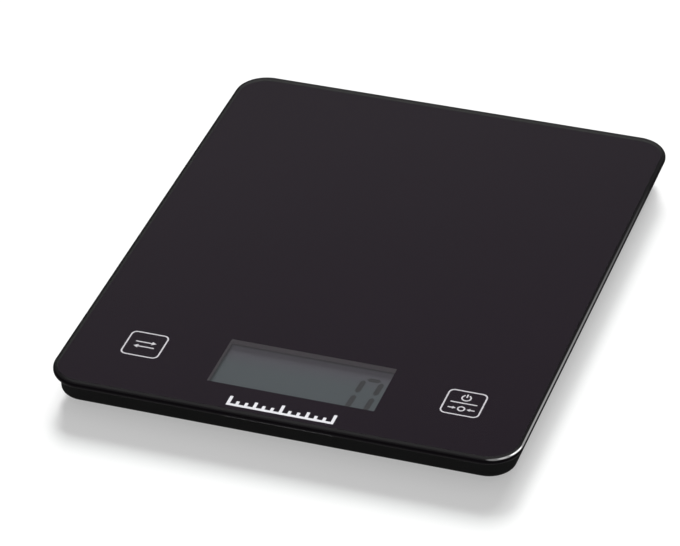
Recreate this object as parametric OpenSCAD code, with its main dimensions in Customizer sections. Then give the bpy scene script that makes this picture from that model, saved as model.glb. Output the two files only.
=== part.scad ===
// Slim electronic kitchen scale: a glass platter bonded to a shallow casing that
// stands on four sprung feet, one over each load cell. Millimetres, +Z up. The
// origin is on the table under the middle of the platter; the display is at -Y.

/* [Platter] */
// Width of the glass, left to right
glass_w = 210; // [204:1:250]
// Depth of the glass, front to back
glass_d = 258; // [252:1:300]
// Thickness of the glass
glass_t = 4; // [4:0.5:6]
// Corner radius of the glass, seen from above
corner_r = 15; // [12:0.5:18]
// Radius of the polished edge of the glass
edge_r = 1.8; // [0.4:0.1:1.8]

/* [Casing] */
// Gap between the table and the casing
ground_gap = 4.2; // [4:0.1:8]
// Height of the casing under the glass
casing_h = 7.8; // [7:0.1:10]
// Step from the edge of the glass in to the casing
casing_inset = 3; // [1:0.5:3]
// Wall and floor thickness of the base shell
shell_t = 1.6; // [1.2:0.1:1.7]
// Radius of the lower outside edge of the base shell
shell_edge_r = 1.5; // [0.5:0.1:1.5]
// Thickness of the upper frame
frame_t = 1.4; // [1.4:0.1:1.6]

/* [Display and keys] */
// Width of the display window
window_w = 75.2; // [66:0.1:78]
// Depth of the display window
window_d = 31.7; // [28:0.1:32]
// Distance from the middle of the platter forward to the middle of the window
window_y = 92.8; // [91:0.1:93.5]
// Depth of the display's face below the back of the glass
display_drop = 2.7; // [2.5:0.1:2.9]
// Side of the square outline of a touch key
key_size = 17.5; // [14:0.5:18]
// Distance from the middle of the platter sideways to a key
key_x = 72.2; // [70:0.1:74]
// Distance from the middle of the platter forward to a key
key_y = 92.1; // [90:0.1:94]
// Width of the printed lines
line_w = 0.7; // [0.5:0.1:0.9]
// Width of the printed rule in front of the window
rule_w = 48; // [30:1:70]
// Height of the printed rule
rule_h = 6.4; // [4:0.1:7]
// Distance from the window forward to the base line of the rule
rule_gap = 13.9; // [12:0.1:15]

/* [Feet] */
// Distance from the middle of the platter sideways to a foot
foot_x = 80; // [78:0.5:80]
// Distance from the middle of the platter forward or back to a foot
foot_y = 104; // [102:0.5:104]
// Outside diameter of a foot
foot_d = 24; // [22:0.5:24]
// Travel of a foot at full load
foot_travel = 0.4; // [0.2:0.1:0.4]

/* [Battery] */
// Diameter of the coin cell
cell_d = 20; // [20:0.1:20]
// Height of the coin cell
cell_h = 3.2; // [2.5:0.1:3.2]
// Distance from the middle of the platter forward to the battery
battery_y = 8; // [4:0.5:10]
// Angle that unlocks the battery door
door_turn = 45; // [40:1:45]

/* [Hidden] */
$fn = 64;
gap = 0.3;                 // clearance between pieces that move apart
slip = 0.2;                // clearance between fixed pieces
over = 1;                  // how far a cutting tool runs past a face
root = 0.2;                // how far a post or a rib runs into the floor it stands on
blind_t = 0.5;             // what is left above a blind screw hole
ink_t = 0.1;
tape_t = 0.2;

// Levels, counted up from the table
z_floor = ground_gap;
z_in = z_floor + shell_t;
z_case = z_floor + casing_h;
z_frame = z_case - frame_t;
z_ink = z_case + tape_t;
z_glass = z_ink + ink_t;

casing_w = glass_w - 2 * casing_inset;
casing_d = glass_d - 2 * casing_inset;
casing_r = corner_r - casing_inset;
inner_w = casing_w - 2 * shell_t;
inner_d = casing_d - 2 * shell_t;
inner_r = casing_r - shell_t;

// Display module
polariser_t = 0.2;
lcd_sheet_t = 0.95;
lcd_ledge = 3;
lcd_w = window_w + 7;
lcd_d = window_d + 5.3;
z_lcd = z_glass - display_drop;
z_lcd_low = z_lcd - 2 * polariser_t - 2 * lcd_sheet_t;
lcd_wall = 3;
lcd_ear_r = 3.2;
lcd_ear_t = 1.2;
lcd_floor_t = 0.3;
lcd_ear_x = lcd_w / 2 + lcd_wall + lcd_ear_r - 0.6;
z_lcd_ear = z_frame - 2.4;

// Main board and its wiring
pcb_w = 64;
pcb_d = 26;
pcb_t = 1;
pcb_y = -52;
z_pcb = z_in + 1.4;
pcb_post_x = 28;
pcb_post_y = 10;
wire_d = 0.5;
z_wire = z_frame - 0.3;
key_pad_t = 0.6;
key_lead = 7.5;

// Load cells
cell_plate = 28;
cell_plate_t = 1.1;
cell_opening = 15;
tongue_w = 9;
holder_size = 33;
holder_web = 0.6;
holder_lip = 0.5;
z_cell_top = z_frame - holder_web;
z_cell = z_cell_top - cell_plate_t;
stake_offset = 19;
stake_d = 2;
stake_spread = 8;
stake_head_t = 0.4;
stake_ear_t = 1;
z_flange = z_in + gap;
flange_t = z_cell - holder_lip - gap - foot_travel - z_flange;
pad_d = foot_d - 4;
pad_drop = 1.2;

// Battery bay
door_d = cell_d + 5;
door_t = 1.2;
lug_reach = 1.7;
lug_angle = 26;
lug_t = 0.8;
z_lug = z_in + gap;
z_door_top = z_lug + lug_t;
z_coin = z_floor + door_t + gap;
z_web = z_door_top + gap;
web_t = 0.6;
z_contact = z_coin + cell_h;
contact_t = 0.2;
contact_x = 6;
contact_reach = 3.2;
spring_t = 0.25;
z_roof = z_contact + 2 * contact_t;
roof_t = 0.4;
bay_r = cell_d / 2 + 0.4;
bay_wall = 1.2;
lug_room_r = door_d / 2 + lug_reach + gap + 0.1;

// Screws
screw_d = 2.6;
screw_head_d = 5;
screw_head_t = 1.2;
screw_recess = 0.7;
boss_d = 9;
z_boss = z_floor + 3.1;
small_screw_d = 2;
small_head_d = 3.8;
small_head_t = 1.1;
screw_room = 0.6;           // space left past the end of a screw
label_w = 46;
label_d = 24;
label_y = 52;
label_t = 0.15;
label_recess = 0.2;
rule_steps = 12;
rule_line = 1.4;

case_screw_spots = [
    for (sx = [-1, 1], y = [-76, 0, 76]) [sx * (glass_w / 2 - 10), y],
    for (sy = [-1, 1]) [0, sy * (glass_d / 2 - 9.4)]
];
foot_spots = [[-foot_x, -foot_y], [foot_x, -foot_y], [-foot_x, foot_y], [foot_x, foot_y]];

// ---------- shared shapes ----------

// Rectangle with round corners, centred
module rounded_rect(w, d, r) {
    square([w - 2 * r, d], center = true);
    square([w, d - 2 * r], center = true);
    for (sx = [-1, 1], sy = [-1, 1])
        translate([sx * (w / 2 - r), sy * (d / 2 - r)]) circle(r);
}

module rounded_plate(w, d, r, h) {
    linear_extrude(h) rounded_rect(w, d, r);
}

module box(w, d, h) {
    translate([-w / 2, -d / 2, 0]) cube([w, d, h]);
}

// Half section of a slab: w wide, h high, its outer edges rounded low and high
module edge_section(w, h, low, high) {
    translate([0, low]) square([w, h - low - high]);
    square([w - low, h / 2]);
    translate([0, h / 2]) square([w - high, h / 2]);
    if (low > 0) translate([w - low, low]) circle(low);
    if (high > 0) translate([w - high, h - high]) circle(high);
}

// One straight side of a slab, on +X
module slab_side(w, d, h, r, low, high) {
    translate([w / 2 - r, d / 2 - r, 0]) rotate([90, 0, 0])
        linear_extrude(d - 2 * r) edge_section(r, h, low, high);
}

// Slab with round corners and rounded lower and upper edges
module soft_slab(w, d, h, r, low = 0, high = 0) {
    box(w - 2 * r, d - 2 * r, h);
    for (turn = [0, 180]) {
        rotate([0, 0, turn]) slab_side(w, d, h, r, low, high);
        rotate([0, 0, turn + 90]) slab_side(d, w, h, r, low, high);
        rotate([0, 0, turn]) translate([w / 2 - r, d / 2 - r, 0])
            rotate_extrude(angle = 90) edge_section(r, h, low, high);
        rotate([0, 0, turn + 90]) translate([d / 2 - r, w / 2 - r, 0])
            rotate_extrude(angle = 90) edge_section(r, h, low, high);
    }
}

module ring(outer_r, inner_r, h) {
    difference() {
        cylinder(r = outer_r, h = h);
        translate([0, 0, -over]) cylinder(r = inner_r, h = h + 2 * over);
    }
}

// Part of a ring that spans an angle, centred on +X
module ring_sector(outer_r, inner_r, h, angle) {
    rotate([0, 0, -angle / 2]) rotate_extrude(angle = angle)
        translate([inner_r, 0]) square([outer_r - inner_r, h]);
}

// Round rod between two points
module rod(from, to, d) {
    run = to - from;
    translate(from) rotate([0, acos(run.z / norm(run)), atan2(run.y, run.x)])
        cylinder(d = d, h = norm(run));
}

// Wire that lies flat through a list of points in plan, and drops to a board at its end
module wire(points, z_board) {
    end = points[len(points) - 1];
    translate([0, 0, z_wire - wire_d / 2]) linear_extrude(wire_d) {
        for (i = [1 : len(points) - 1]) stroke(points[i - 1], points[i], wire_d);
        for (i = [1 : len(points) - 2]) translate(points[i]) circle(d = wire_d + 0.06);
    }
    translate([end.x, end.y, z_board]) cylinder(d = wire_d + 0.2, h = z_wire - z_board);
}

// Screw with its head down and a cross recess, shank up; its origin is the head's seat
module screw(d, head_d, head_t, length) {
    cylinder(d = d, h = length);
    difference() {
        translate([0, 0, -head_t]) cylinder(d = head_d, h = head_t);
        for (turn = [0, 90])
            rotate([0, 0, turn]) translate([0, 0, -head_t - over])
                box(head_d * 0.6, head_d * 0.14, over + head_t * 0.55);
    }
}

// ---------- printed marks, seen through the glass ----------

module stroke(from, to, w = line_w) {
    run = to - from;
    translate((from + to) / 2) rotate(atan2(run.y, run.x)) square([norm(run), w], center = true);
}

// Triangle pointing along +X, its tip at the origin
module arrow_tip(size) {
    polygon([[0, 0], [-size, size * 0.6], [-size, -size * 0.6]]);
}

module key_outline() {
    difference() {
        rounded_rect(key_size, key_size, 2.8);
        rounded_rect(key_size - 2 * line_w, key_size - 2 * line_w, 2.8 - line_w);
    }
}

// Open ring with a bar at the top
module power_sign(r) {
    difference() {
        circle(r);
        circle(r - line_w);
        translate([-line_w * 1.3, 0]) square([line_w * 2.6, r + over]);
    }
    translate([-line_w / 2, r * 0.15]) square([line_w, r]);
}

// Ring between two arrows that point at it
module tare_sign(reach) {
    difference() {
        circle(reach * 0.3);
        circle(reach * 0.3 - line_w);
    }
    for (side = [0, 180]) rotate(side) {
        translate([-reach * 0.4, 0]) arrow_tip(reach * 0.26);
        stroke([-reach, 0], [-reach * 0.6, 0]);
    }
}

// Two opposed arrows, one above the other
module swap_sign(reach) {
    for (side = [0, 180]) rotate(side) translate([0, reach * 0.34]) {
        stroke([-reach, 0], [reach * 0.6, 0]);
        translate([reach, 0]) arrow_tip(reach * 0.44);
    }
}

module key_marks_2d() {
    translate([key_x, -key_y]) {
        key_outline();
        translate([0, key_size * 0.22]) power_sign(key_size * 0.13);
        stroke([-key_size * 0.34, 0], [key_size * 0.34, 0]);
        translate([0, -key_size * 0.23]) tare_sign(key_size * 0.34);
    }
    translate([-key_x, -key_y]) {
        key_outline();
        swap_sign(key_size * 0.27);
    }
}

// Plain graduated rule in front of the window
module front_marks_2d() {
    translate([-rule_w / 2, -window_y - window_d / 2 - rule_gap]) {
        square([rule_w, rule_line]);
        for (i = [0 : rule_steps])
            translate([i * (rule_w - rule_line) / rule_steps, rule_line / 2])
                square([rule_line, rule_h * (i % 6 == 0 ? 0.9 : (i % 3 == 0 ? 0.68 : 0.45))]);
    }
}

// ---------- platter ----------

module glass_platter() {
    color([0.62, 0.72, 0.70, 0.5]) translate([0, 0, z_glass])
        soft_slab(glass_w, glass_d, glass_t, corner_r, edge_r, edge_r);
}

module back_print() {
    color([0.03, 0.025, 0.03]) translate([0, 0, z_ink]) linear_extrude(ink_t) difference() {
        rounded_rect(glass_w - 2 * edge_r, glass_d - 2 * edge_r, corner_r - edge_r);
        translate([0, -window_y]) square([window_w, window_d], center = true);
        key_marks_2d();
        front_marks_2d();
    }
}

module key_marks() {
    color([0.9, 0.9, 0.9]) translate([0, 0, z_ink]) linear_extrude(ink_t) key_marks_2d();
}

module front_marks() {
    color([0.95, 0.95, 0.95]) translate([0, 0, z_ink]) linear_extrude(ink_t) front_marks_2d();
}

module bonding_tape() {
    color([0.2, 0.2, 0.2]) translate([0, 0, z_case]) linear_extrude(tape_t) difference() {
        rounded_rect(inner_w - 3, inner_d - 3, inner_r - 1.5);
        translate([0, -window_y]) square([lcd_w + 1, lcd_d + 1], center = true);
        for (sx = [-1, 1]) translate([sx * key_x, -key_y])
            square([key_size + 5, key_size + 5], center = true);
    }
}

// ---------- casing ----------

// Pins that hold a load-cell holder to the frame, their ends flattened
module stakes() {
    for (spot = foot_spots, side = [-1, 1])
        translate([spot.x - sign(spot.x) * stake_offset, spot.y + side * stake_spread, 0]) {
            translate([0, 0, z_frame - stake_ear_t - 0.3]) cylinder(d = stake_d, h = stake_ear_t + 0.4);
            translate([0, 0, z_frame - stake_ear_t - stake_head_t])
                cylinder(d = stake_d + 1, h = stake_head_t);
        }
}

module upper_frame() {
    color([0.07, 0.07, 0.07]) {
        difference() {
            union() {
                translate([0, 0, z_frame])
                    rounded_plate(inner_w - 2 * slip, inner_d - 2 * slip, inner_r - slip, frame_t);
                for (spot = case_screw_spots)
                    translate([spot.x, spot.y, z_boss]) cylinder(d = 6, h = z_frame - z_boss + 0.1);
                for (side = [-1, 1])
                    translate([side * lcd_ear_x, -window_y, z_lcd_ear + lcd_ear_t])
                        cylinder(d = 5, h = z_frame - z_lcd_ear - lcd_ear_t + 0.1);
            }
            translate([0, -window_y, z_frame - over])
                box(lcd_w + 2 * slip, lcd_d + 2 * slip, frame_t + 2 * over);
            for (spot = case_screw_spots)
                translate([spot.x, spot.y, z_boss - over])
                    cylinder(d = screw_d, h = z_case - z_boss - blind_t + over);
            for (side = [-1, 1]) {
                translate([side * lcd_ear_x, -window_y, z_lcd_ear])
                    cylinder(d = small_screw_d, h = z_case - z_lcd_ear - blind_t);
                translate([side * key_x, -key_y, z_case - 0.5])
                    box(key_size + 4.4, key_size + 4.4, 0.5 + over);
                translate([side * (key_x - key_lead), key_lead - key_y, z_frame - over])
                    cylinder(d = 2.6, h = frame_t + over);
            }
        }
        stakes();
    }
}

// Solid of revolution of the battery well above the floor of the shell
module battery_well() {
    rotate_extrude() {
        translate([lug_room_r, z_in - root]) square([bay_wall, z_web + web_t - z_in + root]);
        translate([bay_r, z_web]) square([lug_room_r - bay_r + 0.2, web_t]);
        translate([bay_r, z_web]) square([bay_wall, z_roof + roof_t - z_web]);
        translate([0, z_roof]) square([bay_r + 0.2, roof_t]);
    }
}

// Blocks that stop the lugs of the battery door at both ends of its turn
module door_stops() {
    for (half = [0, 180], angle = [lug_angle / 2 + 6, -door_turn - lug_angle / 2 - 7])
        rotate([0, 0, half + angle]) translate([0, 0, z_in - root])
            ring_sector(lug_room_r + 0.3, door_d / 2 + 0.7, z_web - z_in + 2 * root, 6);
}

// Everything that is cut through the floor for the battery door
module door_opening() {
    translate([0, 0, z_floor - over]) cylinder(d = door_d + 2 * gap, h = shell_t + over + 0.1);
    for (half = [0, 180])
        rotate([0, 0, half - door_turn]) translate([0, 0, z_floor - over])
            ring_sector(lug_room_r - 0.1, door_d / 2 - 1, shell_t + over + 0.1, lug_angle + 6);
}

// Low ribs that stiffen the floor
module floor_ribs() {
    rib_t = 1;
    rib_h = 0.9 + root;
    rib_x = 50;
    for (side = [-1, 1]) {
        translate([side * rib_x, 20, z_in - root]) box(rib_t, 130, rib_h + 0.1);
        translate([side * rib_x, 0, z_in - root]) box(60, rib_t, rib_h);
    }
    translate([0, 70, z_in - root]) box(150, rib_t, rib_h);
}

module base_shell() {
    color([0.06, 0.06, 0.06]) difference() {
        union() {
            difference() {
                translate([0, 0, z_floor])
                    soft_slab(casing_w, casing_d, casing_h, casing_r, shell_edge_r, 0);
                translate([0, 0, z_in])
                    soft_slab(inner_w, inner_d, casing_h, inner_r, 0.8, 0);
            }
            translate([0, -battery_y, 0]) {
                battery_well();
                door_stops();
            }
            floor_ribs();
            for (spot = case_screw_spots)
                translate([spot.x, spot.y, z_in - root]) cylinder(d = boss_d, h = z_boss - z_in + root);
            for (spot = foot_spots)
                translate([spot.x, spot.y, z_in - root])
                    ring(foot_d / 2 + 3.8, foot_d / 2 + 2.6, 1.5);
            for (sx = [-1, 1], sy = [-1, 1])
                translate([sx * pcb_post_x, pcb_y + sy * pcb_post_y, z_in - root])
                    cylinder(d = 5, h = z_pcb - z_in + root);
        }
        for (spot = foot_spots)
            translate([spot.x, spot.y, z_floor - over])
                cylinder(d = foot_d + 2 * gap, h = shell_t + 2 * over);
        for (spot = case_screw_spots) translate([spot.x, spot.y, z_floor]) {
            translate([0, 0, -over])
                cylinder(d = screw_head_d + 0.6, h = over + screw_head_t + screw_recess);
            cylinder(d = screw_d + 0.3, h = z_boss - z_floor + over);
        }
        for (sx = [-1, 1], sy = [-1, 1])
            translate([sx * pcb_post_x, pcb_y + sy * pcb_post_y, z_in + 0.1])
                cylinder(d = small_screw_d, h = z_pcb - z_in);
        translate([0, label_y, z_floor - over])
            rounded_plate(label_w + 2 * slip, label_d + 2 * slip, 2, over + label_recess);
        translate([0, -battery_y, 0]) {
            door_opening();
            translate([0, -bay_r - 0.3, z_web + web_t])
                box(5, 3.4, z_roof + roof_t + over - z_web - web_t);
            translate([contact_x, -bay_r, z_contact + contact_t - 0.05]) box(4.4, 9, contact_t + 0.1);
        }
    }
}

module rating_label() {
    color([0.75, 0.76, 0.78]) translate([0, label_y, z_floor + label_recess - label_t])
        rounded_plate(label_w, label_d, 2 - slip, label_t);
}

module case_screws() {
    color([0.55, 0.56, 0.58]) for (spot = case_screw_spots)
        translate([spot.x, spot.y, z_floor + screw_head_t + screw_recess])
            screw(screw_d, screw_head_d, screw_head_t,
                z_case - screw_room - z_floor - screw_head_t - screw_recess);
}

// ---------- display ----------

module lcd_gasket() {
    color([0.16, 0.15, 0.155]) translate([0, -window_y, z_lcd]) difference() {
        box(lcd_w - 0.6, lcd_d - 0.6, z_ink - z_lcd);
        translate([0, 0, -over]) box(window_w + 0.6, window_d + 0.6, z_ink - z_lcd + 2 * over);
    }
}

module lcd_front_polariser() {
    color([0.33, 0.35, 0.35]) translate([0, -window_y, z_lcd - polariser_t])
        box(lcd_w, lcd_d, polariser_t);
}

// Two glass sheets; the lower one is longer, which leaves a contact ledge at the back
module lcd_glass() {
    color([0.45, 0.48, 0.47]) {
        translate([0, -window_y, z_lcd_low + polariser_t + lcd_sheet_t]) box(lcd_w, lcd_d, lcd_sheet_t);
        translate([0, lcd_ledge / 2 - window_y, z_lcd_low + polariser_t])
            box(lcd_w, lcd_d + lcd_ledge, lcd_sheet_t);
    }
}

module lcd_reflector() {
    color([0.6, 0.62, 0.6]) translate([0, lcd_ledge / 2 - window_y, z_lcd_low])
        box(lcd_w - 1, lcd_d + lcd_ledge - 1, polariser_t);
}

module lcd_frame() {
    pocket_w = lcd_w + 2 * slip;
    pocket_d = lcd_d + lcd_ledge + 2 * slip;
    color([0.1, 0.1, 0.1]) translate([0, lcd_ledge / 2 - window_y, 0]) difference() {
        union() {
            translate([0, 0, z_lcd_low - lcd_floor_t])
                box(pocket_w + 2 * lcd_wall - 0.4, pocket_d + 2 * lcd_wall - 0.4,
                    z_frame - z_lcd_low + lcd_floor_t);
            for (side = [-1, 1])
                translate([side * lcd_ear_x, -lcd_ledge / 2, z_lcd_ear])
                    cylinder(r = lcd_ear_r, h = lcd_ear_t);
        }
        translate([0, 0, z_lcd_low]) box(pocket_w, pocket_d, z_frame);
        translate([0, 0, z_lcd_low - over]) box(pocket_w - 5, pocket_d - 5, 2 * over);
        for (side = [-1, 1])
            translate([side * lcd_ear_x, -lcd_ledge / 2, z_lcd_ear - over])
                cylinder(d = small_screw_d + 0.2, h = 4);
        translate([0, pocket_d / 2 + 1.5, z_lcd_low + polariser_t + lcd_sheet_t - 0.3]) box(46, 4, 1);
    }
}

// Flat flexible strip from the display's ledge to the main board
module lcd_ribbon() {
    ribbon_t = 0.15;
    y_ledge = lcd_d / 2 + lcd_ledge - window_y;
    y_board = pcb_y - pcb_d / 2;
    z_ledge = z_lcd_low + polariser_t + lcd_sheet_t;
    z_board = z_pcb + pcb_t;
    color([0.72, 0.5, 0.2]) rotate([90, 0, 90]) translate([0, 0, -21]) linear_extrude(42) polygon([
        [y_ledge - 2.4, z_ledge], [y_ledge + 1.2, z_ledge], [y_board - 0.2, z_board],
        [y_board + 3, z_board], [y_board + 3, z_board + ribbon_t],
        [y_board - 0.3, z_board + ribbon_t], [y_ledge + 1.1, z_ledge + ribbon_t],
        [y_ledge - 2.4, z_ledge + ribbon_t]
    ]);
}

// ---------- electronics ----------

module main_pcb() {
    color([0.05, 0.28, 0.16]) translate([0, pcb_y, z_pcb]) difference() {
        box(pcb_w, pcb_d, pcb_t);
        for (sx = [-1, 1], sy = [-1, 1])
            translate([sx * pcb_post_x, sy * pcb_post_y, -over])
                cylinder(d = small_screw_d + 0.2, h = pcb_t + 2 * over);
    }
}

// Drop of black resin over the bare chip
module chip_blob() {
    blob_r = 5;
    blob_h = 1.1;
    cap_r = (blob_r * blob_r + blob_h * blob_h) / (2 * blob_h);
    color([0.02, 0.02, 0.02]) translate([0, pcb_y + 2, z_pcb + pcb_t]) rotate_extrude()
        intersection() {
            translate([0, blob_h - cap_r]) circle(cap_r, $fn = 360);
            square([blob_r + 1, blob_h + 1]);
        }
}

module smd_parts() {
    crystal_d = 1.4;
    color([0.55, 0.42, 0.28]) translate([0, pcb_y, z_pcb + pcb_t]) {
        for (i = [0 : 5]) translate([-20 + i * 2.6, 8.5, 0]) box(1.2, 2, 0.5);
        for (i = [0 : 3]) translate([11 + i * 2.8, 2, 0]) box(1.6, 0.8, 0.5);
        for (i = [0 : 3]) translate([-21 + i * 2.8, -1, 0]) box(0.8, 1.6, 0.5);
        translate([12, -4, 0]) box(3, 2, 1.1);
    }
    color([0.75, 0.75, 0.77]) translate([-14, pcb_y - 5, z_pcb + pcb_t + crystal_d / 2])
        rotate([0, 90, 0]) cylinder(d = crystal_d, h = 5, center = true);
}

// Small board with the sensing electrode, bonded to the back of the glass
module touch_pad(side) {
    color([0.05, 0.25, 0.14]) translate([side * key_x, -key_y, z_ink - key_pad_t])
        box(key_size + 2.5, key_size + 2.5, key_pad_t);
}

module touch_pad_left() {
    touch_pad(-1);
}

module touch_pad_right() {
    touch_pad(1);
}

// Single wire from a touch pad to the main board, drawn for the right side
module touch_lead_right() {
    start = [key_x - key_lead, key_lead - key_y];
    color([0.85, 0.85, 0.85]) {
        wire([start, start + [-7, 14], [38, pcb_y - 7], [30, pcb_y - 5]], z_pcb + pcb_t);
        translate([start.x, start.y, z_wire]) cylinder(d = wire_d + 0.2, h = z_ink - key_pad_t - z_wire);
    }
}

module touch_lead_left() {
    mirror([1, 0, 0]) touch_lead_right();
}

// ---------- battery ----------

module coin_cell() {
    color([0.78, 0.78, 0.8]) translate([0, -battery_y, z_coin]) {
        cylinder(d = cell_d, h = cell_h - 0.4);
        cylinder(d = cell_d - 3.2, h = cell_h);
    }
}

// Spring strip that presses on the rim of the cell
module battery_contact_plus() {
    rim = cell_d / 2;
    color([0.83, 0.75, 0.5]) translate([-2, -battery_y, 0]) {
        translate([0, -rim - spring_t, z_web + web_t]) cube([4, spring_t, cell_h - 2]);
        translate([0, -rim - 4.2, z_web + web_t]) cube([4, 4.2, spring_t]);
    }
}

// Spring strip above the cell, with a dimple that touches its top
module battery_contact_minus() {
    color([0.83, 0.75, 0.5]) translate([contact_x, -battery_y, z_contact]) {
        translate([0, 0, contact_t]) translate([-1.8, -bay_r - contact_reach, 0])
            cube([3.6, bay_r + contact_reach + 3, contact_t]);
        cylinder(d = 2.6, h = contact_t + 0.1);
    }
}

// Two short wires from the battery contacts to the main board
module battery_leads() {
    board_end = [0, pcb_y + pcb_d / 2 - 2, z_pcb + pcb_t + wire_d / 2];
    y_bay = -battery_y - bay_r - contact_reach;
    color([0.7, 0.08, 0.06])
        rod([-1, y_bay, z_web + web_t + spring_t + wire_d / 2], board_end - [5, 0, 0], wire_d);
    color([0.05, 0.05, 0.05])
        rod([contact_x, y_bay - wire_d, z_contact + 1.5 * contact_t], board_end + [3, 0, 0], wire_d);
}

// Round door with two lugs that turn in under the floor, and a slot for a coin
module battery_door() {
    color([0.07, 0.07, 0.07]) translate([0, -battery_y, 0]) difference() {
        union() {
            translate([0, 0, z_floor]) cylinder(d = door_d, h = door_t);
            translate([0, 0, z_floor + door_t - 0.2])
                ring(door_d / 2 - 0.1, cell_d / 2 + 0.6, z_door_top - z_floor - door_t + 0.2);
            for (half = [0, 180]) rotate([0, 0, half]) translate([0, 0, z_lug])
                ring_sector(door_d / 2 + lug_reach, door_d / 2 - 1, lug_t, lug_angle);
        }
        translate([0, 0, z_floor - over]) box(1.8, 15, over + 0.7);
    }
}

// ---------- load cells and feet ----------

// Sprung steel plate: a frame around a tongue that the foot pushes up
module load_cell(spot) {
    inward = -sign(spot.y);
    color([0.66, 0.67, 0.69]) translate([spot.x, spot.y, z_cell]) linear_extrude(cell_plate_t)
        face_inward(inward) difference() {
            rounded_rect(cell_plate, cell_plate, 2);
            difference() {
                square([cell_opening, cell_opening + 4], center = true);
                translate([-tongue_w / 2, 0]) square([tongue_w, 12]);
                circle(5);
            }
        }
}

// Turns a shape so that its +Y side faces the middle of the scale
module face_inward(inward) {
    rotate(inward > 0 ? 0 : 180) children();
}

// Strain gauge on the root of the tongue, under its soft cover
module strain_gauge(spot) {
    color([0.8, 0.78, 0.6])
        translate([spot.x, spot.y - sign(spot.y) * 6.4, z_cell_top]) {
            box(6.4, 4.6, 0.1);
            translate([0, 0, 0.1]) box(5, 3.4, 0.25);
        }
}

module cell_holder(spot) {
    inward = -sign(spot.y);
    z_low = z_cell - holder_lip;
    color([0.85, 0.85, 0.83]) translate([spot.x, spot.y, 0]) difference() {
        union() {
            translate([0, 0, z_low]) box(holder_size, holder_size, z_frame - z_low);
            for (side = [-1, 1])
                translate([-sign(spot.x) * stake_offset, side * stake_spread, z_frame - stake_ear_t]) {
                    cylinder(r = 2.4, h = stake_ear_t);
                    translate([sign(spot.x) * 1.5, 0, 0]) box(3, 4.8, stake_ear_t);
                }
        }
        translate([0, 0, z_low - over]) box(cell_plate - 1.2, cell_plate - 1.2, 2 * over);
        translate([0, 0, z_cell]) box(cell_plate + 0.2, cell_plate + 0.2, cell_plate_t);
        translate([0, 0, z_cell]) box(20, 20, z_frame);
        translate([0, inward * 14, z_cell_top]) box(7, 10, z_frame);
        for (side = [-1, 1])
            translate([-sign(spot.x) * stake_offset, side * stake_spread, z_frame - stake_ear_t - over])
                cylinder(d = stake_d + 0.1, h = stake_ear_t + 2 * over);
    }
}

// Three wires from a gauge to the main board, drawn for the right side
module cell_leads(front) {
    y_gauge = foot_y - 9.9;
    to_front = [[foot_x, -y_gauge], [foot_x, -84], [60, -60], [36, -51], [29.5, -49]];
    to_back = [[foot_x, y_gauge], [foot_x, 84], [42, 40], [27, 0], [21, -36], [20.5, -42]];
    for (k = [-1 : 1])
        color(k == 0 ? [0.85, 0.85, 0.85] : (k < 0 ? [0.75, 0.1, 0.08] : [0.06, 0.06, 0.06]))
            wire([for (p = front ? to_front : to_back) p + k * [1, front ? 1 : -1]], z_pcb + pcb_t);
}

// Cup of a foot: it runs through the floor and its flange keeps it in
module foot_cup(spot) {
    r = foot_d / 2;
    wall = 1.4;
    color([0.08, 0.08, 0.08]) translate([spot.x, spot.y, 0]) rotate_extrude() polygon([
        [0, pad_drop * 2], [pad_d / 2 + slip, pad_drop * 2], [pad_d / 2 + slip, pad_drop],
        [r - 0.4, pad_drop], [r, pad_drop + 0.4], [r, z_flange], [r + 2, z_flange],
        [r + 2, z_flange + flange_t], [r - wall, z_flange + flange_t],
        [r - wall, pad_drop * 2 + wall], [3, pad_drop * 2 + wall], [3, z_cell], [0, z_cell]
    ]);
}

// Soft ring-faced pad glued into the cup
module foot_pad(spot) {
    r = pad_d / 2;
    soft = 0.5;
    color([0.22, 0.22, 0.22]) translate([spot.x, spot.y, 0]) rotate_extrude() {
        polygon([
            [0, 0.5], [r * 0.45, 0.5], [r * 0.52, 0], [r - soft, 0], [r - soft, soft],
            [r, soft], [r, pad_drop * 2], [0, pad_drop * 2]
        ]);
        intersection() {
            translate([r - soft, soft]) circle(soft);
            translate([r - soft, 0]) square(soft);
        }
    }
}

module inner_screws() {
    color([0.6, 0.6, 0.62]) {
        for (side = [-1, 1]) translate([side * lcd_ear_x, -window_y, z_lcd_ear])
            screw(small_screw_d, small_head_d, small_head_t, z_case - screw_room - z_lcd_ear);
        for (sx = [-1, 1], sy = [-1, 1])
            translate([sx * pcb_post_x, pcb_y + sy * pcb_post_y, z_pcb + pcb_t]) rotate([180, 0, 0])
                screw(small_screw_d, small_head_d, small_head_t, pcb_t + z_pcb - z_in - root);
    }
}

// ---------- the scale ----------

glass_platter();
back_print();
key_marks();
front_marks();
bonding_tape();
upper_frame();
base_shell();
lcd_gasket();
lcd_front_polariser();
lcd_glass();
lcd_reflector();
lcd_frame();
lcd_ribbon();
main_pcb();
chip_blob();
smd_parts();
touch_pad_left();
touch_pad_right();
touch_lead_left();
touch_lead_right();
coin_cell();
battery_contact_plus();
battery_contact_minus();
battery_leads();
battery_door();
load_cell(foot_spots[0]);  // load_cell_1
load_cell(foot_spots[1]);  // load_cell_2
load_cell(foot_spots[2]);  // load_cell_3
load_cell(foot_spots[3]);  // load_cell_4
strain_gauge(foot_spots[0]);  // strain_gauge_1
strain_gauge(foot_spots[1]);  // strain_gauge_2
strain_gauge(foot_spots[2]);  // strain_gauge_3
strain_gauge(foot_spots[3]);  // strain_gauge_4
cell_holder(foot_spots[0]);  // cell_holder_1
cell_holder(foot_spots[1]);  // cell_holder_2
cell_holder(foot_spots[2]);  // cell_holder_3
cell_holder(foot_spots[3]);  // cell_holder_4
mirror([1, 0, 0]) cell_leads(front = true);  // cell_leads_1
cell_leads(front = true);  // cell_leads_2
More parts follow.
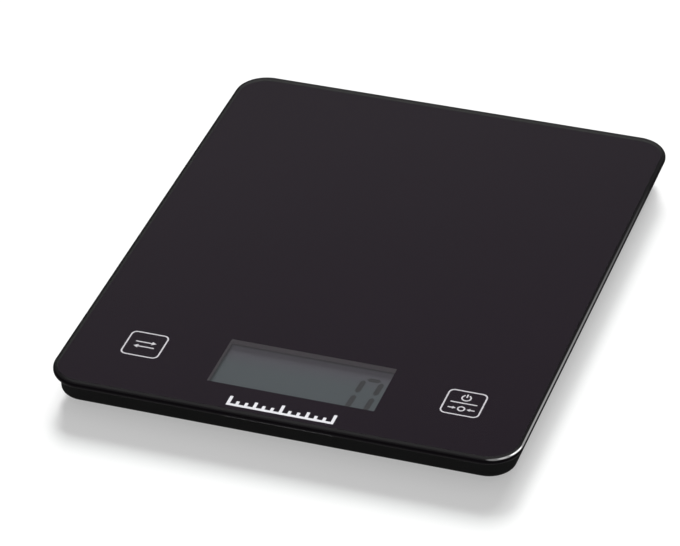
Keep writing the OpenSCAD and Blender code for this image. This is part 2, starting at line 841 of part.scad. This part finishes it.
mirror([1, 0, 0]) cell_leads(front = false);  // cell_leads_3
cell_leads(front = false);  // cell_leads_4
foot_cup(foot_spots[0]);  // foot_cup_1
foot_cup(foot_spots[1]);  // foot_cup_2
foot_cup(foot_spots[2]);  // foot_cup_3
foot_cup(foot_spots[3]);  // foot_cup_4
foot_pad(foot_spots[0]);  // foot_pad_1
foot_pad(foot_spots[1]);  // foot_pad_2
foot_pad(foot_spots[2]);  // foot_pad_3
foot_pad(foot_spots[3]);  // foot_pad_4
case_screws();
inner_screws();
rating_label();
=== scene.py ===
"""Slim glass kitchen scale on a pale studio floor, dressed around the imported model."""

import math

import bmesh
import bpy
from mathutils import Matrix, Vector


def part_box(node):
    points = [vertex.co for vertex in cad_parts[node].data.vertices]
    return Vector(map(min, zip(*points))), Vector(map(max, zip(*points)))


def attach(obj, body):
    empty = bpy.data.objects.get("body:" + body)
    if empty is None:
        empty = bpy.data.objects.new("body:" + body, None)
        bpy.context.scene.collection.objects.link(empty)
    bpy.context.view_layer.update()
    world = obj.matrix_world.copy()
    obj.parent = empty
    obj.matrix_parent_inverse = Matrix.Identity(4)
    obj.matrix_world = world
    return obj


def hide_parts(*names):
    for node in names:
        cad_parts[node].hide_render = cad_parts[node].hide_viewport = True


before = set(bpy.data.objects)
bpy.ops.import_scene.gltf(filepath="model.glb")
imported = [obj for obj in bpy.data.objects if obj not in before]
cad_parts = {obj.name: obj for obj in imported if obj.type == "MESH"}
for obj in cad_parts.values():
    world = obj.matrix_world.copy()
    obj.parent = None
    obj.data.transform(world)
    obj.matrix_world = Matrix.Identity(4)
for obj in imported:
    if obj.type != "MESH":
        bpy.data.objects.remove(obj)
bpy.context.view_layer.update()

MM = 0.001
CASING = "platter_and_casing"
FEET = range(1, 5)

# The platter, as the frame gives it
GLASS_LOW, GLASS_HIGH = (Vector(corner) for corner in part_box("glass_platter"))
GLASS_SIZE = GLASS_HIGH - GLASS_LOW
GLASS_CORNER = 15 * MM
GLASS_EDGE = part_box("back_print")[0][0] - GLASS_LOW.x  # the print stops where the edge starts to round
INK_BITE = 0.01 * MM  # the glass reaches this far into the ink, so no air lies between them

# The display. Its window is this much smaller than the polariser on each side
DISPLAY_LOW, DISPLAY_HIGH = (Vector(corner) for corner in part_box("lcd_front_polariser"))
WINDOW_INSET = Vector((3.5 * MM, 2.65 * MM, 0))

# The foam gasket round it, and how thick its wall is at the sides and at the back
GASKET_HIGH = Vector(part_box("lcd_gasket")[1])
GASKET_WALL = Vector((2.9 * MM, 2.05 * MM))

# The digit that it shows
DIGIT_HEIGHT = 24.8 * MM
DIGIT_WIDTH = 10.6 * MM
DIGIT_LINE = 2.5 * MM
DIGIT_GAP = 0.85 * MM
DIGIT_SLANT = math.radians(3.2)
DIGIT_FROM_RIGHT = 3.2 * MM
DIGIT_FROM_BACK = 6.3 * MM
DIGIT_THICKNESS = 0.02 * MM

# The camera looks at a point beside the middle of the platter's top. Angles are in degrees,
# distances in metres, the lens and the sensor in millimetres
CAMERA_AZIMUTH = 160.535
CAMERA_ELEVATION = 34.609
CAMERA_ROLL = -1.363
CAMERA_DISTANCE = 1.76863
CAMERA_OFFSET = Vector((-13.47 * MM, -8.493 * MM))
CAMERA_REACH = 20
CAMERA_LENS = 210.26
SENSOR_WIDTH = 36

# Soft lights from behind: strength, azimuth, elevation and width, the last three in degrees
LIGHTS = {
    "key": (6.0, -18, 27, 17),
    "fill": (4.0, -4, 28, 25),
}

# The light all round comes in bands: the sine of the height above the horizon, and the level
SKY_BANDS = (
    (-1.0, 0.12), (-0.74, 0.12), (-0.64, 0.05), (0.0, 0.05), (0.30, 0.20),
    (0.497, 0.252), (0.567, 0.189), (0.60, 0.165), (0.74, 0.45), (1.0, 0.6),
)
SKY_LEAN = 0.144  # how far the bands lean towards +X for each step up

# The floor: how much light comes up through it, and how wide it is in metres
FLOOR_GLOW = 0.415
FLOOR_SIZE = 6

# Painted highlights on the polished glass edge, glowing where the surface faces given ways: the azimuth
# and elevation in degrees of that way, how far the spot reaches round that, and its level
PAINTED_EDGE_GLINTS = (
    (90, 36, 14, 0.31), (111, 38, 12, 0.85), (131, 36, 14, 0.30), (150, 35, 14, 0.18),
)
GLINT_SOFT = 2.5  # degrees over which a spot fades, to each side of its rim
GLINT_FADE = 90 * MM  # the spots fade out from this far in front of the middle to this far behind it


def direction(azimuth, elevation):
    """Unit vector; azimuth turns from +Y towards +X, both in degrees."""
    turn, rise = math.radians(azimuth), math.radians(elevation)
    return Vector((
        math.sin(turn) * math.cos(rise),
        math.cos(turn) * math.cos(rise),
        math.sin(rise),
    ))


# ---------- materials ----------

class Shader:
    """A material's node tree, with short ways to add nodes to it."""

    def __init__(self, name):
        self.material = bpy.data.materials.new(name)
        self.material.use_nodes = True
        self.tree = self.material.node_tree
        self.surface = self.tree.nodes["Principled BSDF"]
        self.output = self.tree.nodes["Material Output"]
        self.place = self.add("ShaderNodeTexCoord").outputs["Object"]

    def add(self, kind, **values):
        """Adds a node. A value is set on the input socket of that name, or linked to it."""
        node = self.tree.nodes.new(kind)
        for name, value in values.items():
            self.give(node.inputs[name], value)
        return node

    def give(self, socket, value):
        """Links another node's socket to this one, or sets a plain value on it."""
        if isinstance(value, bpy.types.NodeSocket):
            self.tree.links.new(value, socket)
        else:
            socket.default_value = value

    def set(self, name, value):
        self.give(self.surface.inputs[name], value)

    def noise(self, size, detail=3.0, squeeze=(1, 1, 1)):
        """Noise from 0 to 1. Its blotches are size metres across, divided by squeeze on each axis."""
        mapping = self.add("ShaderNodeMapping", Vector=self.place, Scale=squeeze)
        node = self.add("ShaderNodeTexNoise", Vector=mapping.outputs[0], Scale=1 / size)
        node.inputs["Detail"].default_value = detail
        return node.outputs["Fac"]

    def cells(self, size):
        """Distance to the nearest of a set of points about size metres apart."""
        return self.add("ShaderNodeTexVoronoi", Vector=self.place, Scale=1 / size).outputs["Distance"]

    def remap(self, value, low, high, start=0.3, stop=0.7):
        """Goes from low to high as the value goes from start to stop, and no further."""
        node = self.add("ShaderNodeMapRange", Value=value)
        for name, limit in zip(("From Min", "From Max", "To Min", "To Max"), (start, stop, low, high)):
            node.inputs[name].default_value = limit
        return node.outputs[0]

    def mix(self, factor, one, two):
        node = self.tree.nodes.new("ShaderNodeMix")
        node.data_type = "RGBA"
        self.give(node.inputs[0], factor)
        for socket, value in zip((node.inputs[6], node.inputs[7]), (one, two)):
            self.give(socket, value if isinstance(value, bpy.types.NodeSocket) else (*value, 1))
        return node.outputs[2]

    def math(self, operation, one, two=0.0):
        node = self.tree.nodes.new("ShaderNodeMath")
        node.operation = operation
        self.give(node.inputs[0], one)
        self.give(node.inputs[1], two)
        return node.outputs[0]

    def blend(self, factor, other):
        """Puts another surface in place of the main one where the factor is 1."""
        node = self.tree.nodes.new("ShaderNodeMixShader")
        self.give(node.inputs[0], factor)
        self.give(node.inputs[1], self.surface.outputs[0])
        self.give(node.inputs[2], other.outputs[0])
        self.give(self.output.inputs["Surface"], node.outputs[0])

    def axis(self, name):
        return self.add("ShaderNodeSeparateXYZ", Vector=self.place).outputs[name]

    def bump(self, height, depth):
        """Relief of the given depth in metres."""
        node = self.add("ShaderNodeBump", Height=height, Strength=1.0, Distance=depth)
        self.give(self.surface.inputs["Normal"], node.outputs[0])


def scaled(colour, factor):
    return tuple(channel * factor for channel in colour)


def moulded(name, colour, roughness=0.5, specular=0.4):
    """Moulded plastic: slightly uneven colour, spark-eroded grain and a changing sheen."""
    shader = Shader(name)
    wide = shader.noise(24 * MM, 4)
    grain = shader.noise(0.35 * MM, 3)
    shader.set("Base Color", shader.mix(wide, scaled(colour, 0.86), scaled(colour, 1.14)))
    shader.set("Roughness", shader.remap(shader.noise(9 * MM), roughness - 0.05, roughness + 0.06))
    shader.set("Specular IOR Level", specular)
    shader.bump(grain, 0.006 * MM)
    return shader.material


def metal(name, colour, roughness=0.3, squeeze=(1, 1, 1)):
    """Metal with a fine grain, drawn out into lines across an axis that is squeezed."""
    shader = Shader(name)
    lines = shader.noise(0.4 * MM, 4, squeeze)
    stain = shader.noise(6 * MM)
    shader.set("Metallic", 1.0)
    shader.set("Base Color", shader.mix(stain, scaled(colour, 0.86), colour))
    shader.set("Roughness", shader.remap(lines, roughness - 0.07, roughness + 0.1))
    shader.bump(lines, 0.004 * MM)
    return shader.material


def film(name, colour, roughness=0.4, specular=0.3, shift=0.08, blotch=12 * MM):
    """Thin printed or coated layer: nearly flat, with a faint mottle."""
    shader = Shader(name)
    wide = shader.noise(blotch, 3)
    fine = shader.noise(0.5 * MM, 2)
    shader.set("Base Color", shader.mix(wide, scaled(colour, 1 - shift), scaled(colour, 1 + shift)))
    shader.set("Roughness", shader.remap(fine, roughness - 0.04, roughness + 0.05))
    shader.set("Specular IOR Level", specular)
    return shader.material


def painted_edge_highlights(shader):
    """Level of the painted highlights at each place of the polished edge. Nothing glows on the inside.
    """
    geometry = shader.add("ShaderNodeNewGeometry").outputs
    painted_glow = 0.0
    for azimuth, elevation, reach, level in PAINTED_EDGE_GLINTS:
        facing = shader.add("ShaderNodeVectorMath")
        facing.operation = "DOT_PRODUCT"
        shader.give(facing.inputs[0], geometry["Normal"])
        facing.inputs[1].default_value = direction(azimuth, elevation)
        rim, core = (math.cos(math.radians(reach + soft)) for soft in (GLINT_SOFT, -GLINT_SOFT))
        spot = shader.remap(facing.outputs["Value"], 0.0, level, rim, core)
        painted_glow = shader.math("ADD", painted_glow, spot)
    outside = shader.math("MULTIPLY", painted_glow, shader.math("SUBTRACT", 1.0, geometry["Backfacing"]))
    nearness = shader.remap(shader.axis("Y"), 1.0, 0.0, -GLINT_FADE, GLINT_FADE)
    return shader.math("MULTIPLY", outside, nearness)


def float_glass(name, tint, roughness, painted_glow=None):
    """Float glass. Light that only casts shadow passes straight through it."""
    shader = Shader(name)
    shader.set("Base Color", shader.mix(shader.noise(60 * MM), scaled(tint, 0.98), tint))
    shader.set("Roughness", roughness)
    shader.set("Transmission Weight", 1.0)
    shader.set("IOR", 1.52)
    # Painted highlights, as glow, where a function for them is given
    if painted_glow:
        shader.set("Emission Color", (1, 1, 1, 1))
        shader.set("Emission Strength", painted_glow(shader))
    open_way = shader.add("ShaderNodeBsdfTransparent", Color=(0.93, 0.95, 0.94, 1))
    shadow_ray = shader.add("ShaderNodeLightPath").outputs["Is Shadow Ray"]
    shader.blend(shadow_ray, open_way)
    return shader.material


def display_film():
    """Grey-green polariser, cooler towards the reader, with painted shade next to the gasket and a
    painted glow in place of fill light.
    """
    shade_full_within, shade_gone_beyond = 0.7 * MM, 1.4 * MM
    cool_until, warm_from = 1 * MM, 10 * MM
    shader = Shader("display_film")
    x, y = shader.axis("X"), shader.axis("Y")
    middle = (DISPLAY_LOW.y + DISPLAY_HIGH.y) / 2
    # Painted shade: within about a millimetre of the gasket wall the film's colour and glow both darken
    wall = GASKET_HIGH.xy - GASKET_WALL
    from_side = shader.math("SUBTRACT", wall.x, shader.math("ABSOLUTE", x))
    from_back = shader.math("SUBTRACT", wall.y, y)
    from_wall = shader.math("MINIMUM", from_side, from_back)
    wall_shade = shader.remap(from_wall, 0.45, 1.0, shade_full_within, shade_gone_beyond)
    mottle = shader.remap(shader.noise(14 * MM), 0.94, 1.05)

    # Lighter towards the back: partly its own warmer hue, partly painted light against the shade that
    # the window edge casts there
    tone_change = shader.remap(y, 0.0, 1.0, middle, DISPLAY_HIGH.y)
    tone = shader.mix(tone_change, (0.0172, 0.0182, 0.0205), (0.0300, 0.0280, 0.0335))
    shade = shader.add("ShaderNodeVectorMath", Vector=tone)
    shade.operation = "SCALE"
    shader.give(shade.inputs["Scale"], shader.math("MULTIPLY", wall_shade, mottle))
    shader.set("Base Color", shade.outputs[0])

    # Painted glow: the film shines a little by itself, in place of fill light in its shaded recess
    painted_glow_change = shader.remap(y, 0.0, 1.0, middle + cool_until, middle + warm_from)
    painted_glow = shader.mix(painted_glow_change, (0.0460, 0.0545, 0.0600), (0.0410, 0.0370, 0.0465))
    shader.set("Emission Color", painted_glow)
    shader.set("Emission Strength", wall_shade)
    shader.set("Roughness", shader.remap(shader.noise(0.3 * MM), 0.34, 0.46))
    shader.set("Specular IOR Level", 0.2)
    return shader.material


def foam(name, colour, painted_glow):
    """Closed-cell foam, with a painted glow that lifts its shaded walls."""
    shader = Shader(name)
    pores = shader.cells(0.45 * MM)
    shader.set("Base Color", shader.mix(pores, scaled(colour, 1.15), scaled(colour, 0.75)))
    shader.set("Roughness", shader.remap(pores, 0.75, 0.9))
    shader.set("Specular IOR Level", 0.15)
    shader.set("Emission Color", (*painted_glow, 1))
    shader.set("Emission Strength", 1.0)
    shader.bump(pores, 0.05 * MM)
    return shader.material


def soft_rubber(name, colour):
    """Thermoplastic rubber with a dull, faintly dusty face."""
    shader = Shader(name)
    dust = shader.noise(3 * MM, 6)
    shader.set("Base Color", shader.mix(dust, colour, scaled(colour, 1.7)))
    shader.set("Roughness", shader.remap(dust, 0.62, 0.8))
    shader.set("Specular IOR Level", 0.3)
    shader.bump(shader.noise(0.25 * MM, 4), 0.015 * MM)
    return shader.material


def board(name, colour):
    """Glass-fibre board: the weave shows through the solder mask."""
    thread = 1.1 * MM
    shader = Shader(name)
    weave = [
        shader.math("SINE", shader.math("MULTIPLY", shader.axis(axis), 2 * math.pi / thread))
        for axis in ("X", "Y")
    ]
    crossing = shader.math("MULTIPLY", *weave)
    shade = shader.remap(crossing, 0.0, 1.0, -1.0, 1.0)
    shader.set("Base Color", shader.mix(shade, scaled(colour, 0.8), scaled(colour, 1.2)))
    shader.set("Roughness", shader.remap(shader.noise(4 * MM), 0.25, 0.35))
    shader.bump(crossing, 0.01 * MM)
    return shader.material


def two_wires():
    """Insulation that is red on one side of the part and black on the other."""
    shader = Shader("battery_wires")
    side = shader.math("GREATER_THAN", shader.axis("X"), 0.0)
    shader.set("Base Color", shader.mix(side, (0.42, 0.02, 0.015), (0.012, 0.012, 0.012)))
    shader.set("Roughness", shader.remap(shader.noise(2 * MM), 0.38, 0.5))
    shader.bump(shader.noise(0.4 * MM), 0.01 * MM)
    return shader.material


def plain_label():
    """Silvered label with nothing but a border and three ruled bars."""
    border, bar, pitch = 1.6 * MM, 1.2 * MM, 5 * MM
    side_margin, end_margin = 5 * MM, 4 * MM
    shader = Shader("plain_label")
    low, high = (Vector(corner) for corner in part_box("rating_label"))
    centre = (low + high) / 2
    half = (high - low) / 2
    across = shader.math("ABSOLUTE", shader.math("SUBTRACT", shader.axis("X"), centre.x))
    along = shader.math("ABSOLUTE", shader.math("SUBTRACT", shader.axis("Y"), centre.y))
    beyond_x = shader.math("GREATER_THAN", across, half.x - border)
    beyond_y = shader.math("GREATER_THAN", along, half.y - border)
    on_bar = shader.math("LESS_THAN", shader.math("PINGPONG", along, pitch / 2), bar / 2)
    inside_x = shader.math("LESS_THAN", across, half.x - side_margin)
    inside_y = shader.math("LESS_THAN", along, half.y - end_margin)
    inside = shader.math("MULTIPLY", inside_x, inside_y)
    bars = shader.math("MULTIPLY", on_bar, inside)
    mark = shader.math("MAXIMUM", shader.math("MAXIMUM", beyond_x, beyond_y), bars)
    silver = shader.mix(shader.noise(0.4 * MM, 4, (1, 14, 1)), (0.50, 0.51, 0.52), (0.62, 0.63, 0.64))
    shader.set("Base Color", shader.mix(mark, silver, (0.10, 0.10, 0.11)))
    shader.set("Roughness", shader.remap(shader.noise(5 * MM), 0.32, 0.44))
    return shader.material


def dress(material, *names):
    """Gives CAD nodes or pieces a material."""
    for name in names:
        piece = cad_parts.get(name) or bpy.data.objects[name]
        if not piece.material_slots:
            piece.data.materials.append(None)
        for slot in piece.material_slots:
            slot.material = material


def numbered(stem):
    return [f"{stem}_{i}" for i in FEET]


# ---------- pieces built here ----------

def outline(half_x, half_y, radius, steps=20):
    """Points of a rectangle with round corners, counter-clockwise."""
    points = []
    for quarter, (side_x, side_y) in enumerate(((1, 1), (-1, 1), (-1, -1), (1, -1))):
        for step in range(steps + 1):
            angle = math.pi / 2 * (quarter + step / steps)
            x = side_x * (half_x - radius) + radius * math.cos(angle)
            y = side_y * (half_y - radius) + radius * math.sin(angle)
            points.append((x, y))
    return points


def add_piece(name, mesh, body):
    piece = bpy.data.objects.new(name, mesh)
    bpy.context.scene.collection.objects.link(piece)
    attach(piece, body)
    return piece


def join_rings(form, rings):
    """Makes a closed form through rings of points that run counter-clockwise, lowest ring first."""
    for lower, upper in zip(rings, rings[1:]):
        for i in range(len(lower)):
            j = (i + 1) % len(lower)
            form.faces.new((lower[i], lower[j], upper[j], upper[i]))
    form.faces.new(list(reversed(rings[0])))
    form.faces.new(rings[-1])


def finished_mesh(name, form):
    mesh = bpy.data.meshes.new(name)
    form.to_mesh(mesh)
    form.free()
    return mesh


def lofted_slab(name, centre, half, radius, levels):
    """Closed slab through rounded rectangles, one for each (inset, height).

    Its flat faces take the first material, and its rounded side takes the second.
    """
    form = bmesh.new()
    rings = []
    for inset, height in levels:
        ring = [
            form.verts.new((centre.x + x, centre.y + y, height))
            for x, y in outline(half.x - inset, half.y - inset, radius - inset)
        ]
        rings.append(ring)
    join_rings(form, rings)
    for face in form.faces:
        on_side = len(face.verts) == 4
        face.smooth = on_side
        face.material_index = int(on_side)
    return finished_mesh(name, form)


def polished_levels(low, high, edge, steps=8):
    """Insets and heights of a slab's side whose two edges are quarter rounds."""
    lower, upper = [], []
    for step in range(steps + 1):
        angle = math.pi / 2 * step / steps
        inset = edge * (1 - math.sin(angle))
        rise = edge * (1 - math.cos(angle))
        lower.append((inset, low + rise))
        upper.append((inset, high - rise))
    return lower + upper[::-1]


def make_platter():
    """The glass, with its polished edge. It bites a hair into the ink under it."""
    centre = (GLASS_LOW + GLASS_HIGH) / 2
    levels = polished_levels(GLASS_LOW.z - INK_BITE, GLASS_HIGH.z, GLASS_EDGE)
    mesh = lofted_slab("platter", centre, GLASS_SIZE / 2, GLASS_CORNER, levels)
    platter = add_piece("platter", mesh, CASING)
    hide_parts("glass_platter")
    return platter


def bar_outline(length, width):
    """Counter-clockwise points of a display segment: a bar with pointed ends, lying along Y."""
    half, side = length / 2, width / 2
    return [
        (0, -half), (side, side - half), (side, half - side),
        (0, half), (-side, half - side), (-side, side - half),
    ]


def zero_segments():
    """Centre, length and turn of the six segments that show a nought."""
    reach = (DIGIT_WIDTH - DIGIT_LINE) / 2
    rise = (DIGIT_HEIGHT - DIGIT_LINE) / 2
    upright = rise - 2 * DIGIT_GAP
    level = 2 * reach - 2 * DIGIT_GAP
    sides = [(side * reach, half * rise / 2, upright, 0) for side in (-1, 1) for half in (-1, 1)]
    caps = [(0, half * rise, level, math.pi / 2) for half in (-1, 1)]
    return sides + caps


def make_digit():
    """The nought at the right of the display, as the dark areas of the liquid crystal."""
    form = bmesh.new()
    right = DISPLAY_HIGH.x - WINDOW_INSET.x - DIGIT_FROM_RIGHT
    back = DISPLAY_HIGH.y - WINDOW_INSET.y - DIGIT_FROM_BACK
    centre = Vector((right - DIGIT_WIDTH / 2, back - DIGIT_HEIGHT / 2))
    heights = (DISPLAY_HIGH.z, DISPLAY_HIGH.z + DIGIT_THICKNESS)
    for x, y, length, turn in zero_segments():
        rotation = Matrix.Rotation(turn, 2)
        corners = []
        for point in bar_outline(length, DIGIT_LINE):
            local = rotation @ Vector(point) + Vector((x, y))
            slanted = Vector((local.x + local.y * math.tan(DIGIT_SLANT), local.y))
            corners.append(centre + slanted)
        rings = [[form.verts.new((*corner, height)) for corner in corners] for height in heights]
        join_rings(form, rings)
    digit = add_piece("display_digit", finished_mesh("display_digit", form), CASING)


# ---------- stage ----------

def make_floor():
    """White light table: some of its light comes from below. It is clear when seen from below."""
    bpy.ops.mesh.primitive_plane_add(size=FLOOR_SIZE)
    floor = bpy.context.object
    floor.name = "studio_floor"
    shader = Shader("studio_floor")
    shader.set("Base Color", shader.mix(shader.noise(0.4), (0.36, 0.36, 0.36), (0.375, 0.375, 0.375)))
    shader.set("Roughness", 0.9)
    shader.set("Specular IOR Level", 0.0)
    shader.set("Emission Color", (1, 1, 1, 1))
    shader.set("Emission Strength", FLOOR_GLOW)
    underneath = shader.add("ShaderNodeNewGeometry").outputs["Backfacing"]
    shader.blend(underneath, shader.add("ShaderNodeBsdfTransparent"))
    floor.data.materials.append(shader.material)
    floor.visible_glossy = False
    floor.visible_transmission = False


def make_lights():
    """The soft lights from behind. They show in no reflection."""
    for name, (strength, azimuth, elevation, width) in LIGHTS.items():
        data = bpy.data.lights.new(name, "SUN")
        data.energy = strength
        data.angle = math.radians(width)
        light = bpy.data.objects.new(name, data)
        bpy.context.scene.collection.objects.link(light)
        light.location = direction(azimuth, elevation)
        light.rotation_mode = "QUATERNION"
        light.rotation_quaternion = (-light.location).to_track_quat("-Z", "Y")
        light.visible_glossy = False
        light.visible_transmission = False


def make_world():
    """Soft light in bands of height that lean a little to the right. Seen as plain white."""
    world = bpy.data.worlds.new("studio")
    bpy.context.scene.world = world
    world.use_nodes = True
    nodes, links = world.node_tree.nodes, world.node_tree.links
    nodes.clear()
    coordinates = nodes.new("ShaderNodeTexCoord")
    split = nodes.new("ShaderNodeSeparateXYZ")
    lean = nodes.new("ShaderNodeMath")
    lean.operation = "MULTIPLY_ADD"
    lean.inputs[1].default_value = SKY_LEAN
    halve = nodes.new("ShaderNodeMath")
    halve.operation = "MULTIPLY_ADD"
    halve.inputs[1].default_value = 0.5
    halve.inputs[2].default_value = 0.5
    ramp = nodes.new("ShaderNodeValToRGB")
    bands = ramp.color_ramp.elements
    for height, _ in SKY_BANDS[1:-1]:
        bands.new((1 + height) / 2)
    for band, (_, level) in zip(bands, SKY_BANDS):
        band.color = (level, level, level, 1)
    lighting = nodes.new("ShaderNodeBackground")
    seen = nodes.new("ShaderNodeBackground")
    seen.inputs["Color"].default_value = (1, 1, 1, 1)
    path = nodes.new("ShaderNodeLightPath")
    blend = nodes.new("ShaderNodeMixShader")
    output = nodes.new("ShaderNodeOutputWorld")
    links.new(coordinates.outputs["Generated"], split.inputs[0])
    links.new(split.outputs["X"], lean.inputs[0])
    links.new(split.outputs["Z"], lean.inputs[2])
    links.new(lean.outputs[0], halve.inputs[0])
    links.new(halve.outputs[0], ramp.inputs[0])
    links.new(ramp.outputs[0], lighting.inputs["Color"])
    links.new(path.outputs["Is Camera Ray"], blend.inputs[0])
    links.new(lighting.outputs[0], blend.inputs[1])
    links.new(seen.outputs[0], blend.inputs[2])
    links.new(blend.outputs[0], output.inputs["Surface"])


def make_camera():
    """Camera on an orbit round the middle of the platter's top, slid sideways and rolled."""
    data = bpy.data.cameras.new("camera")
    data.lens = CAMERA_LENS
    data.sensor_width = SENSOR_WIDTH
    data.clip_end = CAMERA_REACH
    camera = bpy.data.objects.new("camera", data)
    bpy.context.scene.collection.objects.link(camera)
    away = direction(CAMERA_AZIMUTH, CAMERA_ELEVATION)
    level_right = Vector((0, 0, 1)).cross(away).normalized()
    level_up = away.cross(level_right)
    roll = math.radians(CAMERA_ROLL)
    right = math.cos(roll) * level_right + math.sin(roll) * level_up
    up = away.cross(right)
    top_centre = Vector((0, 0, GLASS_HIGH.z))
    place = top_centre + CAMERA_OFFSET.x * right + CAMERA_OFFSET.y * up + CAMERA_DISTANCE * away
    turn = Matrix((right, up, away)).transposed()
    camera.matrix_world = Matrix.Translation(place) @ turn.to_4x4()
    bpy.context.scene.camera = camera


# ---------- the scale ----------

platter = make_platter()
make_digit()

platter.data.materials.append(float_glass("platter_glass", (0.965, 0.98, 0.975), 0.0))
# The edge glass carries painted highlights as glow, strongest at the front right
platter.data.materials.append(float_glass("platter_edge", (0.02, 0.02, 0.02), 0.1, painted_edge_highlights))
dress(film("black_ink", (0.0063, 0.0030, 0.0067), 0.6, 0.0, blotch=70 * MM), "back_print")
dress(film("white_ink", (0.45, 0.425, 0.455), 0.6, 0.0), "key_marks")
dress(film("bright_ink", (0.60, 0.58, 0.615), 0.6, 0.0), "front_marks")
dress(film("adhesive_film", (0.06, 0.06, 0.06), 0.5), "bonding_tape")
dress(moulded("frame_plastic", (0.014, 0.014, 0.014)), "upper_frame")
dress(moulded("casing_plastic", (0.0088, 0.0088, 0.0089), 0.5, 0.32), "base_shell")
# The gasket's glow is painted light on its shaded walls
dress(foam("gasket_foam", (0.030, 0.025, 0.029), (0.038, 0.032, 0.038)), "lcd_gasket")
dress(display_film(), "lcd_front_polariser")
dress(film("display_digit", (0.024, 0.023, 0.026), 0.45, 0.2, blotch=5 * MM), "display_digit")
dress(film("display_glass", (0.42, 0.46, 0.44), 0.12, 0.5), "lcd_glass")
dress(metal("reflector_film", (0.62, 0.63, 0.62), 0.35), "lcd_reflector")
dress(moulded("display_frame_plastic", (0.02, 0.02, 0.02)), "lcd_frame")
dress(film("ribbon_film", (0.45, 0.20, 0.04), 0.25), "lcd_ribbon")
dress(board("main_board", (0.012, 0.13, 0.055)), "main_pcb")
dress(board("touch_board", (0.010, 0.10, 0.045)), "touch_pad_left", "touch_pad_right")
dress(film("chip_resin", (0.008, 0.008, 0.008), 0.22, 0.5), "chip_blob")
dress(film("component_ceramic", (0.36, 0.25, 0.15), 0.5, blotch=2.6 * MM, shift=0.5), "smd_parts")
dress(film("grey_insulation", (0.55, 0.55, 0.54), 0.45), "touch_lead_left", "touch_lead_right")
dress(film("wire_insulation", (0.45, 0.05, 0.04), 0.45), *numbered("cell_leads"))
dress(two_wires(), "battery_leads")
dress(metal("coin_steel", (0.66, 0.66, 0.67), 0.26, (1, 8, 1)), "coin_cell")
dress(metal("contact_brass", (0.78, 0.62, 0.34), 0.24, (6, 1, 1)),
      "battery_contact_plus", "battery_contact_minus")
dress(moulded("door_plastic", (0.012, 0.012, 0.012), 0.5, 0.35), "battery_door")
dress(metal("spring_steel", (0.45, 0.45, 0.47), 0.3, (1, 10, 1)), *numbered("load_cell"))
dress(film("gauge_cover", (0.62, 0.57, 0.38), 0.4), *numbered("strain_gauge"))
dress(moulded("holder_plastic", (0.66, 0.66, 0.64)), *numbered("cell_holder"))
dress(moulded("foot_plastic", (0.012, 0.012, 0.012), 0.45, 0.4), *numbered("foot_cup"))
dress(soft_rubber("pad_rubber", (0.030, 0.030, 0.031)), *numbered("foot_pad"))
dress(metal("screw_steel", (0.52, 0.52, 0.54), 0.28), "case_screws", "inner_screws")
dress(plain_label(), "rating_label")

make_floor()
make_lights()
make_world()
make_camera()
bpy.context.scene.view_settings.view_transform = "Standard"
